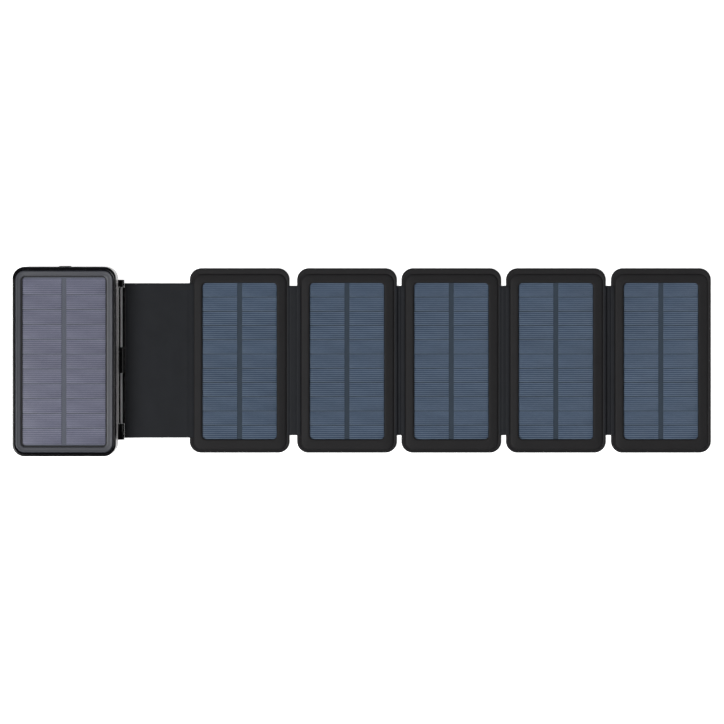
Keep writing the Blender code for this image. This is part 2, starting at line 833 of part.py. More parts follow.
def add_covers(body, outline, window):
    """The back cover and the front cover, whose pressed edges meet at the panel's middle plane."""
    skin = FABRIC_T
    core = FLANGE_INSET
    back_low = PANEL_MID_Z - GAP / 2 - FLANGE_T
    back_high = PANEL_MID_Z - GAP / 2
    front_low = PANEL_MID_Z + GAP / 2
    front_high = front_low + FLANGE_T
    back = lofted(
        level(inset(outline, core + 1.2 * MM), 0),
        level(inset(outline, core), back_low),
        level(outline, back_low),
        level(outline, back_high),
        level(inset(outline, core + 0.2 * MM), back_high),
        level(inset(outline, core + 1.3 * MM), skin),
    )
    front = lofted(
        level(inset(outline, core + 1.2 * MM), PANEL_T),
        level(inset(outline, core), front_high),
        level(outline, front_high),
        level(outline, front_low),
        level(inset(outline, core + 0.2 * MM), front_low),
        level(inset(outline, core + 1.3 * MM), PANEL_T - skin),
        level(window, PANEL_T - skin),
        level(window, PANEL_T),
        closed=True,
    )
    back_cover = add_piece(body + "_back_cover", back, "fabric", body)
    front_cover = add_piece(body + "_front_cover", front, "fabric", body)
    if body == "panel_1":
        add_tongue(back_cover, back_low, back_high)
        add_tongue(front_cover, front_low, front_high)


def add_panel(number, pivot, parent):
    body = f"panel_{number}"
    x = PANEL_LEFTS[number - 1] + PANEL_W / 2
    outline = (x, MID_Y, PANEL_W, PANEL_L, PANEL_R, PANEL_CORNER_STEPS)
    add_pivot(body, pivot, parent)
    add_covers(body, outline, panel_window(x))
    board_z = FABRIC_T + GAP
    cells_z = board_z + 0.8 * MM + GAP
    clear_z = cells_z + GAP + GAP
    board = plate(panel_window(x, 2.2 * MM), board_z, board_z + 0.8 * MM)
    add_piece(body + "_backing_board", board, "backing", body)
    cells = plate(panel_window(x, 1.2 * MM), cells_z, cells_z + GAP)
    add_piece(body + "_cell_sheet", cells, "solar_cell", body)
    clear = stepped_plate(
        panel_window(x, 1.7 * MM), clear_z, clear_z + 0.5 * MM,
        panel_window(x, -0.5 * MM), PANEL_T - 0.4 * MM,
    )
    add_piece(body + "_clear_cover", clear, "clear_film", body)


def add_web(number, left, right, parent):
    """A strip between two panels' edges, with a slot along it for its lead."""
    body = f"web_{number}"
    add_pivot(body, (left + WEB_AXIS_OFFSET, MID_Y, PANEL_MID_Z), parent)
    start = left + WEB_CLEAR
    end = right - WEB_CLEAR
    outer = (MID_Y, PANEL_MID_Z, WEB_L, WEB_T, 0, 0)
    slot = (MID_Y, PANEL_MID_Z, WEB_LEAD_W + 2 * GAP, WEB_LEAD_T + GAP, 0, 0)
    lead = (MID_Y, PANEL_MID_Z, WEB_LEAD_W, WEB_LEAD_T, 0, 0)
    fabric = lofted(
        level(outer, start, "YZ"), level(outer, end, "YZ"),
        level(slot, end, "YZ"), level(slot, start, "YZ"),
        closed=True,
    )
    add_piece(body + "_fabric", fabric, "fabric", body)
    cable = lofted(level(lead, start, "YZ"), level(lead, end, "YZ"))
    add_piece(body + "_lead", cable, "flat_cable", body)


def add_panels():
    """The row of panels. Each hangs from the one before it, on an axis over or under the middle of
    their web, and the web hangs from the one before it too."""
    add_panel(1, (CREASE_X, MID_Y, PANEL_MID_Z), "flap")
    for number in range(1, PANEL_COUNT):
        parent = f"panel_{number}"
        left = PANEL_LEFTS[number - 1] + PANEL_W
        right = PANEL_LEFTS[number]
        add_web(number, left, right, parent)
        side = 1 if number % 2 else -1
        fold_z = PANEL_MID_Z + side * FOLD_PITCHES[number - 1] / 2
        add_panel(number + 1, ((left + right) / 2, MID_Y, fold_z), parent)


def main():
    clear_scene()
    add_case()
    add_flap()
    add_panels()


main()
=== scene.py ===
"""Looks of the folding solar power bank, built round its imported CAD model. Lengths are in
millimetres until a mesh is made."""

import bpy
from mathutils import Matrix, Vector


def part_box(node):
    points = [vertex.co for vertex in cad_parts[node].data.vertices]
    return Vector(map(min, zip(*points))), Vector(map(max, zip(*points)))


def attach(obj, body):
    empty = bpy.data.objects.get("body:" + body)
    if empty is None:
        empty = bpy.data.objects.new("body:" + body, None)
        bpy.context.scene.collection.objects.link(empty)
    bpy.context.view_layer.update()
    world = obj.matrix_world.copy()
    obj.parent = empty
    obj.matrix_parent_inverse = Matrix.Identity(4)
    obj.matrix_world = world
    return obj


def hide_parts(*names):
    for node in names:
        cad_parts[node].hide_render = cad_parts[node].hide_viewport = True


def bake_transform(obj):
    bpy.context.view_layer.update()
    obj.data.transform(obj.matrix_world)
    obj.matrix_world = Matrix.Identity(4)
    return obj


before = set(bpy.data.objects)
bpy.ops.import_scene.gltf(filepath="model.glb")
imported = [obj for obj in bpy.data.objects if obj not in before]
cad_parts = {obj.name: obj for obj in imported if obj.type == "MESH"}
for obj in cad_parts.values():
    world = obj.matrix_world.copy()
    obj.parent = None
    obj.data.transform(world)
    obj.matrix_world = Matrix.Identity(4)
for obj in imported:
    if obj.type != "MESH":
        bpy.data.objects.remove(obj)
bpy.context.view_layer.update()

import math

import bmesh
import bpy
from mathutils import Vector, noise

MM = 0.001


# Places, read from the imported CAD parts


def box_mm(node):
    low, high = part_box(node)
    return [v / MM for v in low], [v / MM for v in high]


case_low, case_high = box_mm("upper_shell")
CASE_X = (case_low[0] + case_high[0]) / 2
MID_Y = (case_low[1] + case_high[1]) / 2
CASE_W = case_high[0] - case_low[0]
CASE_L = case_high[1] - case_low[1]
CASE_H = case_high[2]
CASE_LEFT = case_low[0]
CASE_RIGHT = case_high[0]
CASE_TOP_Y = case_high[1]
rod_low, rod_high = box_mm("hinge_rod")
ROD_X = (rod_low[0] + rod_high[0]) / 2
ROD_Z = (rod_low[2] + rod_high[2]) / 2
bar_low, bar_high = box_mm("flap_edge_bar")
bezel_low, bezel_high = box_mm("bezel")
cells_low, cells_high = box_mm("case_cell_sheet")
WINDOW_X = CASE_X - 0.35  # the case's window sits a little left of its middle
WINDOW_W = cells_high[0] - cells_low[0] - 1.8
WINDOW_L = cells_high[1] - cells_low[1] - 1.8
PANELS = range(1, 6)
PANEL_X = {}
for number in PANELS:
    low, high = box_mm(f"panel_{number}_backing_board")
    PANEL_X[number] = (low[0] + high[0]) / 2
low, high = box_mm("panel_2_front_cover")
PANEL_W = high[0] - low[0]
PANEL_L = high[1] - low[1]
PANEL_MID_Z = 2.0
low, high = box_mm("panel_2_cell_sheet")
PANEL_WINDOW_W = high[0] - low[0] - 2.4
PANEL_WINDOW_L = high[1] - low[1] - 2.4
PANEL_WINDOW_Y = (low[1] + high[1]) / 2
PANEL_OPEN_W = PANEL_WINDOW_W + 0.7
WINDOW_SHIFT = -0.1
PANEL_1_LEFT = PANEL_X[1] - PANEL_W / 2
CREASE_X = PANEL_1_LEFT - 5.0
low, high = box_mm("flap_front_fabric")
FLAP_L = high[1] - low[1]
low, high = box_mm("web_1_fabric")
WEB_L = high[1] - low[1]
WALL = 2.2
GAP = 0.3  # between pieces that are laid in each other
CELL_ROWS = 11
FINGERS = 7  # printed lines on each cell row
COLUMN_GAP = 4.1
CASE_CELL_Z = 24.8
PANEL_CELL_Z = 2.0


# Material kit


class Look:
    """A node material on one Principled BSDF."""

    def __init__(self, name):
        self.material = bpy.data.materials.new(name)
        self.material.use_nodes = True
        self.tree = self.material.node_tree
        self.shader = self.tree.nodes["Principled BSDF"]

    def set(self, **values):
        for key, value in values.items():
            socket = self.shader.inputs[key.replace("_", " ")]
            socket.default_value = value
        return self

    def node(self, kind, inputs=(), **settings):
        made = self.tree.nodes.new("ShaderNode" + kind)
        for key, value in settings.items():
            setattr(made, key, value)
        for key, value in dict(inputs).items():
            if isinstance(value, bpy.types.NodeSocket):
                self.tree.links.new(value, made.inputs[key])
            else:
                made.inputs[key].default_value = value
        return made

    def math(self, operation, *values):
        return self.node("Math", dict(enumerate(values)), operation=operation).outputs[0]

    def scaled(self, colour, tone):
        return self.node("VectorMath", {0: colour, 3: tone}, operation="SCALE").outputs[0]

    def place(self):
        """The point in the object's own coordinates, in metres."""
        return self.node("TexCoord").outputs["Object"]

    def split(self):
        made = self.node("SeparateXYZ", {0: self.place()})
        return made.outputs[0], made.outputs[1], made.outputs[2]

    def noise(self, scale, detail=2.0, rough=0.5, stretch=None):
        vector = self.place()
        if stretch:
            vector = self.node(
                "VectorMath", {0: vector, 1: stretch}, operation="MULTIPLY",
            ).outputs[0]
        settings = {"Vector": vector, "Scale": scale, "Detail": detail, "Roughness": rough}
        return self.node("TexNoise", settings).outputs[0]

    def span(self, value, from_low, from_high, low, high, smooth=False):
        """A value moved from one range to another, and held inside it."""
        settings = {0: value, 1: from_low, 2: from_high, 3: low, 4: high}
        kind = "SMOOTHSTEP" if smooth else "LINEAR"
        return self.node("MapRange", settings, interpolation_type=kind, clamp=True).outputs[0]

    def mix(self, factor, first, second):
        made = self.node("Mix", data_type="RGBA")
        for index, value in ((0, factor), (6, first), (7, second)):
            if isinstance(value, bpy.types.NodeSocket):
                self.tree.links.new(value, made.inputs[index])
            else:
                made.inputs[index].default_value = value if index == 0 else (*value, 1.0)
        return made.outputs[2]

    def to(self, socket, value):
        self.tree.links.new(value, self.shader.inputs[socket])
        return self

    def bump(self, height, strength, distance):
        values = {"Height": height, "Strength": strength, "Distance": distance * MM}
        return self.to("Normal", self.node("Bump", values).outputs[0])


def weave(look, pitch):
    """Height of a plain weave, from -1 to 1: threads over and under each other."""
    u, v, _ = look.split()
    rate = math.pi / (pitch * MM)
    wave_u = look.math("SINE", look.math("MULTIPLY", u, rate))
    wave_v = look.math("SINE", look.math("MULTIPLY", v, rate))
    return look.math("MULTIPLY", wave_u, wave_v)


def fabric_look(name, colour, pitch=0.85, wrinkle=0.0):
    """Fine coated weave: threads, soft mottling, a little fuzz, and shallow creases where it is
    loose."""
    look = Look(name)
    threads = weave(look, pitch)
    fuzz = look.noise(2600, 3, 0.6)
    patches = look.noise(55, 3, 0.55)
    tone = look.span(threads, -1, 1, 0.72, 1.26)
    tone = look.math("MULTIPLY", tone, look.span(fuzz, 0.25, 0.75, 0.84, 1.16))
    tone = look.math("MULTIPLY", tone, look.span(patches, 0.3, 0.7, 0.92, 1.08))
    look.to("Base Color", look.scaled(colour, tone))
    look.to("Roughness", look.span(fuzz, 0.3, 0.7, 0.56, 0.70))
    look.set(Specular_IOR_Level=0.16, Sheen_Weight=0.015, Sheen_Roughness=0.5)
    height = look.math("ADD", threads, look.math("MULTIPLY", fuzz, 0.8))
    if wrinkle:
        broad = look.noise(95, 3, 0.55, stretch=(1, 0.6, 1))
        height = look.math("ADD", height, look.math("MULTIPLY", broad, wrinkle))
    look.bump(height, 0.4, 0.12)
    return look.material


def gloss_look(name, colour, roughness=0.09):
    """Moulded gloss plastic: faint orange peel, and dust-fine scuffs in its shine."""
    look = Look(name)
    peel = look.noise(170, 2, 0.4)
    scuffs = look.noise(900, 4, 0.7, stretch=(1, 0.25, 1))
    look.set(Base_Color=(*colour, 1), Specular_IOR_Level=0.16)
    look.to("Roughness", look.span(scuffs, 0.3, 0.75, roughness, roughness + 0.12))
    look.bump(peel, 0.05, 0.3)
    return look.material


def satin_look(name, colour, roughness=0.38, grain=1800, specular=0.5):
    """Moulded satin plastic: a fine spark-eroded grain."""
    look = Look(name)
    fine = look.noise(grain, 3, 0.6)
    broad = look.noise(40, 2, 0.5)
    fine_tone = look.span(fine, 0.3, 0.7, 0.9, 1.1)
    tone = look.math("MULTIPLY", fine_tone, look.span(broad, 0.3, 0.7, 0.95, 1.05))
    look.to("Base Color", look.scaled(colour, tone))
    look.to("Roughness", look.span(fine, 0.3, 0.7, roughness - 0.06, roughness + 0.08))
    look.set(Specular_IOR_Level=specular)
    look.bump(fine, 0.18, 0.05)
    return look.material


def metal_look(name, colour, roughness=0.25, stretch=(1, 0.03, 1)):
    """Drawn or rolled metal: fine marks along it."""
    look = Look(name)
    marks = look.noise(2500, 3, 0.6, stretch=stretch)
    look.set(Metallic=1.0)
    tone = look.span(marks, 0.25, 0.75, 0.85, 1.1)
    look.to("Base Color", look.scaled(colour, tone))
    look.to("Roughness", look.span(marks, 0.3, 0.7, roughness - 0.08, roughness + 0.12))
    look.bump(marks, 0.12, 0.03)
    return look.material


def cell_look(name, silicon, finger, start_y, pitch):
    """Silicon strips with printed fingers that run along X, repeated along Y from start_y."""
    look = Look(name)
    _, v, _ = look.split()
    turns = look.math("MULTIPLY", look.math("SUBTRACT", v, start_y * MM), 1 / (pitch * MM))
    place = look.math("FRACT", turns)
    off = look.math("ABSOLUTE", look.math("SUBTRACT", place, 0.5))
    line = look.span(off, 0.16, 0.30, 1.0, 0.0, smooth=True)
    grains = look.noise(260, 3, 0.6, stretch=(1, 2.2, 1))
    strips = look.noise(60, 1, 0.4, stretch=(0.2, 1, 1))
    grain_tone = look.span(grains, 0.3, 0.7, 0.95, 1.05)
    tone = look.math("MULTIPLY", grain_tone, look.span(strips, 0.35, 0.65, 0.95, 1.05))
    look.to("Base Color", look.scaled(look.mix(line, silicon, finger), tone))
    look.to("Roughness", look.span(line, 0, 1, 0.38, 0.5))
    look.set(Specular_IOR_Level=0.15)
    look.bump(line, 0.2, 0.02)
    return look.material


def film_look(name, colour, alpha, roughness):
    """Clear laminate with a faint emboss, which lets the cells show through."""
    look = Look(name)
    emboss = look.noise(700, 2, 0.5)
    look.set(Base_Color=(*colour, 1), Alpha=alpha, Specular_IOR_Level=0.25)
    look.to("Roughness", look.span(emboss, 0.3, 0.7, roughness, roughness + 0.06))
    look.bump(emboss, 0.03, 0.03)
    return look.material


LOOKS = {
    "case_plastic": gloss_look("case_gloss", (0.0022, 0.0022, 0.0028), 0.08),
    # Light grey walls: painted sheen for the bright grazing reflection on the case's sides.
    "wall_painted_sheen": satin_look("case_wall_painted_sheen", (0.36, 0.352, 0.352), 0.3),
    # Near-black, for the ring in the window's groove: painted shade, as dark as the groove's
    # shadow.
    "painted_groove_shade": satin_look("groove_shade_black", (0.004, 0.004, 0.005), 0.7),
    "bezel_plastic": satin_look("bezel_satin", (0.036, 0.038, 0.046), 0.38, 1800, 0.2),
    "hinge_plastic": gloss_look("hinge_gloss", (0.002, 0.002, 0.0025), 0.20),
    "fabric": fabric_look("cover_weave", (0.0070, 0.0067, 0.0074)),
    "flap": fabric_look("flap_weave", (0.0058, 0.0068, 0.0090), 0.7, 3.0),
    "film": film_look("panel_film", (0.05, 0.07, 0.095), 0.05, 0.14),
    "case_film": film_look("case_film", (0.14, 0.14, 0.17), 0.06, 0.14),
    "backing": satin_look("cell_backing", (0.026, 0.036, 0.050), 0.6, 1800, 0.1),
    "case_backing": satin_look("case_backing", (0.078, 0.086, 0.108), 0.6, 1800, 0.1),
    "steel": metal_look("drawn_steel", (0.52, 0.52, 0.53)),
    "rod_steel": satin_look("satin_steel", (0.72, 0.72, 0.74), 0.35, 2400),
    "socket_metal": metal_look("plated_steel", (0.66, 0.66, 0.68), 0.2, (1, 1, 1)),
    "silicone": satin_look("soft_silicone", (0.008, 0.008, 0.009), 0.55, 2400),
    "circuit_board": satin_look("solder_mask", (0.012, 0.080, 0.030), 0.3, 1200),
    "pouch_foil": metal_look("pouch_foil", (0.62, 0.62, 0.64), 0.35, (1, 1, 1)),
    "switch_plastic": satin_look("switch_plastic", (0.05, 0.05, 0.052)),
    "lens_plastic": satin_look("frosted_lens", (0.72, 0.74, 0.76), 0.25, 500),
    "flat_cable": satin_look("amber_film", (0.23, 0.09, 0.02), 0.3, 900),
    "gold": metal_look("gold_plate", (0.80, 0.55, 0.22), 0.25, (1, 1, 1)),
}


# Mesh kit

SHARP = 35.0  # degrees between two faces, from which their edge is shaded sharp


def outline_points(outline, parts=None):
    """Points round (centre x, centre y, width, length, corner radius, corner steps), anticlockwise.
    parts divides the straight sides: (the two along X, the two along Y)."""
    x, y, width, length, radius, steps = outline
    points = []
    for corner, (sx, sy) in enumerate(((1, 1), (-1, 1), (-1, -1), (1, -1))):
        cx = x + sx * (width / 2 - radius)
        cy = y + sy * (length / 2 - radius)
        for step in range(steps + 1):
            angle = math.pi / 2 * (corner + step / steps)
            points.append((cx + radius * math.cos(angle), cy + radius * math.sin(angle)))
    if not parts:
        return points
    divided = []
    for i, point in enumerate(points):
        divided.append(point)
        if i % (steps + 1) != steps:
            continue
        after = points[(i + 1) % len(points)]
        count = parts[i // (steps + 1) % 2]
        for k in range(1, count):
            divided.append(tuple(a + (b - a) * k / count for a, b in zip(point, after)))
    return divided


def inset(outline, by):
    x, y, width, length, radius, steps = outline
    return (x, y, width - 2 * by, length - 2 * by, max(radius - by, 0.05), steps)


def circle_points(u, v, radius, steps):
    turns = [2 * math.pi * step / steps for step in range(steps)]
    return [(u + radius * math.cos(turn), v + radius * math.sin(turn)) for turn in turns]


def at(points, height, plane="XY"):
    if plane == "XY":
        return [Vector((u, v, height)) for u, v in points]
    if plane == "YZ":
        return [Vector((height, u, v)) for u, v in points]
    return [Vector((u, height, v)) for u, v in points]


def level(outline, height, plane="XY", parts=None):
    return at(outline_points(outline, parts), height, plane)


def loft(bm, loops, closed=False):
    """A skin through loops of equally many points: capped, or closed from the last loop to the
    first."""
    rings = [[bm.verts.new(point) for point in loop] for loop in loops]
    pairs = list(zip(rings, rings[1:]))
    if closed:
        pairs.append((rings[-1], rings[0]))
    for low, high in pairs:
        for i in range(len(low)):
            j = (i + 1) % len(low)
            bm.faces.new((low[i], low[j], high[j], high[i]))
    if not closed:
        bm.faces.new(reversed(rings[0]))
        bm.faces.new(rings[-1])


def add_box(bm, low, high):
    corners = [(low[0], low[1]), (high[0], low[1]), (high[0], high[1]), (low[0], high[1])]
    loft(bm, (at(corners, low[2]), at(corners, high[2])))


def round_edge(outline, radius, z, rising, steps=8):
    """Loops of a rounded edge: from a flat bottom out to the wall, or from the wall in to a flat
    top."""
    loops = []
    for step in range(steps + 1):
        angle = math.pi / 2 * step / steps
        if rising:
            loops.append((radius * (1 - math.sin(angle)), z + radius * (1 - math.cos(angle))))
        else:
            loops.append((radius * (1 - math.cos(angle)), z + radius * math.sin(angle)))
    return [level(inset(outline, by), height) for by, height in loops]


def new_object(name, bm, sharp=SHARP):
    bmesh.ops.recalc_face_normals(bm, faces=bm.faces)
    for vert in bm.verts:
        vert.co *= MM
    mesh = bpy.data.meshes.new(name)
    bm.to_mesh(mesh)
    bm.free()
    mesh.shade_smooth()
    mesh.set_sharp_from_angle(angle=math.radians(sharp))
    made = bpy.data.objects.new(name, mesh)
    bpy.context.scene.collection.objects.link(made)
    return made


def bake_modifiers(obj):
    """The object keeps the shape that its modifiers give it."""
    depsgraph = bpy.context.evaluated_depsgraph_get()
    mesh = bpy.data.meshes.new_from_object(obj.evaluated_get(depsgraph))
    obj.modifiers.clear()
    old = obj.data
    obj.data = mesh
    bpy.data.meshes.remove(old)
    mesh.shade_smooth()
    mesh.set_sharp_from_angle(angle=math.radians(SHARP))


def combine(obj, operation, bm):
    helper = new_object(obj.name + "_helper", bm)
    modifier = obj.modifiers.new("combine", "BOOLEAN")
    modifier.operation = operation
    modifier.solver = "EXACT"
    modifier.object = helper
    bake_modifiers(obj)
    mesh = helper.data
    bpy.data.objects.remove(helper)
    bpy.data.meshes.remove(mesh)


def soften(obj, width):
    """Small rounds on the edges sharper than 40 degrees."""
    modifier = obj.modifiers.new("soften", "BEVEL")
    modifier.width = width * MM
    modifier.segments = 2
    modifier.limit_method = "ANGLE"
    modifier.angle_limit = math.radians(40.0)
    modifier.use_clamp_overlap = True
    modifier.harden_normals = False
    bake_modifiers(obj)


def dress(obj, look, body, slot, *nodes):
    """The piece gets its material and its body, and the CAD nodes it stands for are hidden. Its
    slot is not used.
    """
    obj.data.materials.clear()
    obj.data.materials.append(LOOKS[look])
    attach(obj, body)
    if nodes:
        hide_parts(*nodes)
    return obj


def repaint(node, look):
    """A CAD node keeps its shape and gets a finished material."""
    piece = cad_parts[node]
    for slot in piece.material_slots:
        slot.material = LOOKS[look]


# Case

CASE_OUTLINE = (CASE_X, MID_Y, CASE_W, CASE_L, 10.0, 14)
SEAM_LOW = box_mm("lower_shell")[1][2]
SEAM_HIGH = SEAM_LOW + GAP
LUG_TOP_Y = (60.8, 66.8)
LUG_BOTTOM_Y = (-65.4, -52.3)
POST_PLACES = [(CASE_X + sx * 33.0, MID_Y + sy * 69.4) for sx in (-1, 1) for sy in (-1, 1)]
BUTTON_Y = MID_Y + 61.0
BUTTON_Z = 12.6
BUTTON_SIZE = (8.4, 4.4)
LIGHT_Y = [MID_Y + y for y in (41.5, 45.0, 48.5, 52.0)]
LENS_OUTLINE = (CASE_X, MID_Y, 56.0, 36.0, 4.0, 8)
cover_low, cover_high = box_mm("port_cover")


def capsule_outline(y, z, length, height, grow=0.0):
    return (y, z, length + 2 * grow, height + 2 * grow, height / 2 - 0.1 + grow, 10)


def socket_outline(node, grow=0.0):
    low, high = box_mm(node)
    radius = 1.5 if node == "usb_c_socket" else 0.8
    return (
        (low[0] + high[0]) / 2, (low[2] + high[2]) / 2, high[0] - low[0] + 2 * grow,
        high[2] - low[2] + 2 * grow, radius + grow, 5,
    )


def lug_loops(y_span):
    """A barrel round the rod with a block into the wall, its ends slightly rounded."""
    loops = []
    low, high = (MID_Y + y for y in y_span)
    for y, less in ((low, 0.35), (low + 0.35, 0), (high - 0.35, 0), (high, 0.35)):
        half = 2.4 - less
        back = CASE_RIGHT - WALL / 2
        points = [(back, ROD_Z + half), (back, ROD_Z - half)]
        for step in range(21):
            angle = -math.pi / 2 + math.pi * step / 20
            points.append((ROD_X + half * math.cos(angle), ROD_Z + half * math.sin(angle)))
        loops.append(at(points, y, "XZ"))
    return loops


def painted_shade_rail():
    """A low black rail at the wall's foot, along the rod: painted shade, closing the gap between
    wall and rod where the bright floor would show.
    """
    inner, outer = CASE_RIGHT - 0.6, CASE_RIGHT + 0.2
    points = [(inner, 0.4), (outer, 0.4), (outer, 3.2), (inner, 3.8)]
    rail = bmesh.new()
    loft(rail, (at(points, MID_Y - 53.0, "XZ"), at(points, MID_Y + 61.5, "XZ")))
    return rail


def make_lower_shell():
    """The tub in light grey satin plastic; the light grey is painted sheen, standing in for the
    bright reflection along its walls. The lugs and the rail, outside its right wall, are glossy
    black.
    """
    loops = round_edge(CASE_OUTLINE, 2.5, 0, rising=True)
    loops += [
        level(CASE_OUTLINE, SEAM_LOW - 0.25),
        level(inset(CASE_OUTLINE, 0.25), SEAM_LOW),
        level(inset(CASE_OUTLINE, WALL), SEAM_LOW),
        level(inset(CASE_OUTLINE, WALL), WALL),
    ]
    bm = bmesh.new()
    loft(bm, loops)
    shell = new_object("lower_case", bm)
    add = bmesh.new()
    for y_span in (LUG_TOP_Y, LUG_BOTTOM_Y):
        loft(add, lug_loops(y_span))
    add_box(
        add, (cover_low[0] - 2, CASE_TOP_Y - 2 * WALL, WALL / 2),
        (cover_high[0] + 2, CASE_TOP_Y - WALL * 0.8, cover_high[2] + 0.8),
    )
    for x, y in POST_PLACES:
        points = circle_points(x, y, 3.4, 24)
        loft(add, (at(points, WALL / 2), at(points, 17)))
    combine(shell, "UNION", add)
    combine(shell, "DIFFERENCE", lower_holes())
    soften(shell, 0.18)
    # The rail's black faces fill the gap between wall and rod: painted shade.
    combine(shell, "UNION", painted_shade_rail())
    dress(shell, "wall_painted_sheen", "case", "case_plastic", "lower_shell")
    shell.data.materials.append(LOOKS["hinge_plastic"])
    for face in shell.data.polygons:
        if face.center.x > (CASE_RIGHT + 0.05) * MM:
            face.material_index = 1
    return shell


def lower_holes():
    """Everything cut from the lower shell: the rod's bore, the cover's recess, the sockets' and the
    button's holes, the light holes, the lens window and the screw wells."""
    bm = bmesh.new()
    bore = circle_points(ROD_X, ROD_Z, 1.3, 24)
    loft(bm, (at(bore, MID_Y - 80, "XZ"), at(bore, MID_Y + 80, "XZ")))
    cover_x = (cover_low[0] + cover_high[0]) / 2
    cover_z = (cover_low[2] + cover_high[2]) / 2
    recess = (
        cover_x, cover_z, cover_high[0] - cover_low[0] + 2 * GAP,
        cover_high[2] - cover_low[2] + 2 * GAP, 1.3, 5,
    )
    loft(bm, (level(recess, CASE_TOP_Y - 2.1, "XZ"), level(recess, CASE_TOP_Y + 3, "XZ")))
    for node in ("usb_a_socket_1", "usb_a_socket_2", "usb_c_socket"):
        hole = socket_outline(node, GAP)
        loft(bm, (level(hole, CASE_TOP_Y - 6, "XZ"), level(hole, CASE_TOP_Y - 1.9, "XZ")))
    slot = capsule_outline(BUTTON_Y, BUTTON_Z, *BUTTON_SIZE, GAP)
    loft(bm, (level(slot, CASE_LEFT - 2, "YZ"), level(slot, CASE_LEFT + 5, "YZ")))
    for y in LIGHT_Y:
        points = circle_points(y, BUTTON_Z, 1.05, 20)
        loft(bm, (at(points, CASE_LEFT - 2, "YZ"), at(points, CASE_LEFT + 5, "YZ")))
    lens = inset(LENS_OUTLINE, -GAP)
    loft(bm, (level(lens, -2), level(lens, 5)))
    for x, y in POST_PLACES:
        wide = circle_points(x, y, 2.6, 24)
        thin = circle_points(x, y, 1.5, 24)
        loft(bm, (at(wide, -2), at(wide, 6), at(thin, 6), at(thin, 20)))
    return bm


def make_upper_shell():
    """The lid: a bead-like rim, rounded outside and inside, round the bezel's pocket."""
    pocket = (
        CASE_X, MID_Y, bezel_high[0] - bezel_low[0] + 2 * GAP,
        bezel_high[1] - bezel_low[1] + 2 * GAP, 8.0, 14,
    )
    lip_in = inset(CASE_OUTLINE, WALL + GAP + 1.2)
    lip_out = inset(CASE_OUTLINE, WALL + GAP)
    loops = [
        level(lip_in, 21.8), level(lip_in, 19.6), level(lip_out, 19.6), level(lip_out, SEAM_HIGH),
        level(inset(CASE_OUTLINE, 0.25), SEAM_HIGH), level(CASE_OUTLINE, SEAM_HIGH + 0.25),
    ]
    loops += round_edge(CASE_OUTLINE, 1.3, CASE_H - 1.3, rising=False, steps=10)
    inner = 0.65
    for step in range(9):
        angle = math.pi / 2 * step / 8
        out = inner * (1 - math.sin(angle))
        loops.append(level(inset(pocket, -out), CASE_H - inner * (1 - math.cos(angle))))
    loops.append(level(pocket, 23.2))
    bm = bmesh.new()
    loft(bm, loops)
    shell = new_object("upper_case", bm)
    return dress(shell, "case_plastic", "case", "case_plastic", "upper_shell")


def window(grow=0.0):
    """The case's window, grown all round."""
    return (WINDOW_X, MID_Y, WINDOW_W + 2 * grow, WINDOW_L + 2 * grow, 2.8 + grow, 14)


def make_bezel():
    """A satin frame: a soft fall at its outer edge, a flat face, and a deep groove round the
    window."""
    outer = (CASE_X, MID_Y, bezel_high[0] - bezel_low[0], bezel_high[1] - bezel_low[1], 7.7, 14)
    profile = (
        (0, 23.5), (0, 26.9), (0.12, 27.2), (0.4, 27.45), (0.75, 27.57), (1.15, 27.6),
        (1.5, 27.53), (1.9, 27.48), (2.6, 27.46), (3.7, 27.43),
    )
    loops = [level(inset(outer, by), z) for by, z in profile]
    loops += [
        level(window(grow), z) for grow, z in (
            (1.3, 27.4), (1.05, 27.33), (0.9, 27.1), (0.9, 26.42),
            (2.3, 26.4), (2.3, 23.5),
        )
    ]
    bm = bmesh.new()
    loft(bm, loops, closed=True)
    bezel = new_object("window_bezel", bm)
    dress(bezel, "bezel_plastic", "case", "bezel_plastic", "bezel")
    # A near-black ring laid in the groove round the window: painted shade for the groove's shadow.
    bm = bmesh.new()
    loft(bm, [
        level(window(grow), z) for grow, z in (
            (0.8, 26.1), (0.8, 26.45), (0.6, 26.6), (0.2, 26.6), (0.02, 26.45), (0.02, 26.1),
        )
    ], closed=True)
    dress(new_object("window_groove_shade_ring", bm), "painted_groove_shade", "case", "silicone")


def film_piece(name, wide, opening, base_z, flange, top_z, node, look, body):
    """A clear plate with a rounded, raised middle that fills its window."""
    wide = (*wide[:5], opening[5])
    loops = [
        level(wide, base_z), level(wide, base_z + flange),
        level(inset(opening, -0.02), base_z + flange),
        level(opening, top_z - 0.28), level(inset(opening, 0.06), top_z - 0.12),
        level(inset(opening, 0.18), top_z - 0.03), level(inset(opening, 0.35), top_z),
    ]
    bm = bmesh.new()
    loft(bm, loops)
    return dress(new_object(name, bm), look, body, "clear_film", node)


def cell_field(name, centre, pitch, column_w, z, body, node, look, longer=0.0, seam=0.7):
    """Two columns of thin silicon strips, with seam between the rows. The first and the last row
    can be longer."""
    bm = bmesh.new()
    x0, y0 = centre
    top = y0 + CELL_ROWS * pitch / 2
    for side in (-1, 1):
        middle = x0 + side * (COLUMN_GAP / 2 + column_w / 2)
        for row in range(CELL_ROWS):
            more = longer * ((row == 0) - (row == CELL_ROWS - 1))
            y = top - (row + 0.5) * pitch + more / 2
            strip = (middle, y, column_w, pitch - seam + abs(more), 0.25, 2)
            loft(bm, (level(strip, z), level(strip, z + 0.16), level(inset(strip, 0.06), z + 0.2)))
    cells = new_object(name, bm)
    return dress(cells, look, body, "solar_cell", node)


